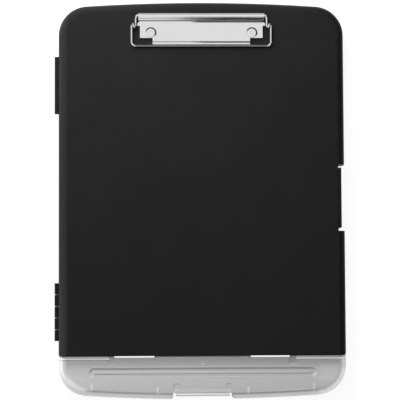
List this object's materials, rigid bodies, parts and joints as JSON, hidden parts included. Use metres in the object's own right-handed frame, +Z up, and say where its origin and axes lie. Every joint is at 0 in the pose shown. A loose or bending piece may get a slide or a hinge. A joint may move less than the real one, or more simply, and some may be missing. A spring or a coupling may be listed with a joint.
{
  "type": "storage clipboard box",
  "caption": "Black storage clipboard: hinged lid with a wire clip over a paper tray, side flex latch, and a frosted pen box with a flip cover at the lower end.",
  "frame": {"origin": "centre of the box's footprint, hinge barrels left out, on the underside it rests on", "axes": "+X to the latch side, +Y to the clip end, +Z up out of the lid"},
  "size_m": [0.2456, 0.3358, 0.0275],
  "materials": {
    "black_plastic": "moulded black polypropylene, fine matte texture",
    "frosted_plastic": "frosted translucent polypropylene, natural grey-white",
    "clip_steel": "bright nickel-plated spring steel",
    "pin_steel": "plain drawn steel"
  },
  "bodies": {
    "base": {"base_tray": "black_plastic", "lid_hinge_pin_lower": "pin_steel", "lid_hinge_pin_upper": "pin_steel", "pen_tray": "frosted_plastic"},
    "lid": {"lid": "black_plastic", "clip_plate": "clip_steel", "clip_wire_bar": "clip_steel", "clip_spring_left": "clip_steel", "clip_spring_right": "clip_steel", "clip_rivet_left": "clip_steel", "clip_rivet_right": "clip_steel", "clip_washer_left": "pin_steel", "clip_washer_right": "pin_steel"},
    "side_latch": {"side_latch": "black_plastic"},
    "pen_cover": {"pen_cover": "frosted_plastic"},
    "pen_cover_latch": {"pen_cover_latch": "frosted_plastic"},
    "clip_bail": {"clip_bail": "clip_steel"}
  },
  "joints": [
    {"name": "lid_hinge", "type": "hinge", "parent": "base", "child": "lid", "pos_m": [-0.1224, 0, 0.012], "axis": [0, -1, 0], "range_deg": [0, 175]},
    {"name": "side_latch_flex", "type": "hinge", "parent": "lid", "child": "side_latch", "pos_m": [0.1152, 0.0011, 0.022], "axis": [0, -1, 0], "range_deg": [0, 10], "stiffness_Nm_per_rad": 0.1},
    {"name": "pen_cover_hinge", "type": "hinge", "parent": "base", "child": "pen_cover", "pos_m": [0, -0.1334, 0.0196], "axis": [-1, 0, 0], "range_deg": [0, 90]},
    {"name": "pen_latch_flex", "type": "hinge", "parent": "pen_cover", "child": "pen_cover_latch", "pos_m": [0, -0.1624, 0.021], "axis": [-1, 0, 0], "range_deg": [0, 10], "stiffness_Nm_per_rad": 0.1},
    {"name": "clip_bail_pivot", "type": "hinge", "parent": "lid", "child": "clip_bail", "pos_m": [0, 0.1468, 0.02525], "axis": [-1, 0, 0], "range_deg": [0, 50], "stiffness_Nm_per_rad": 0.15, "springref_deg": -45.84, "deforming": ["clip_spring_left", "clip_spring_right"]}
  ]
}
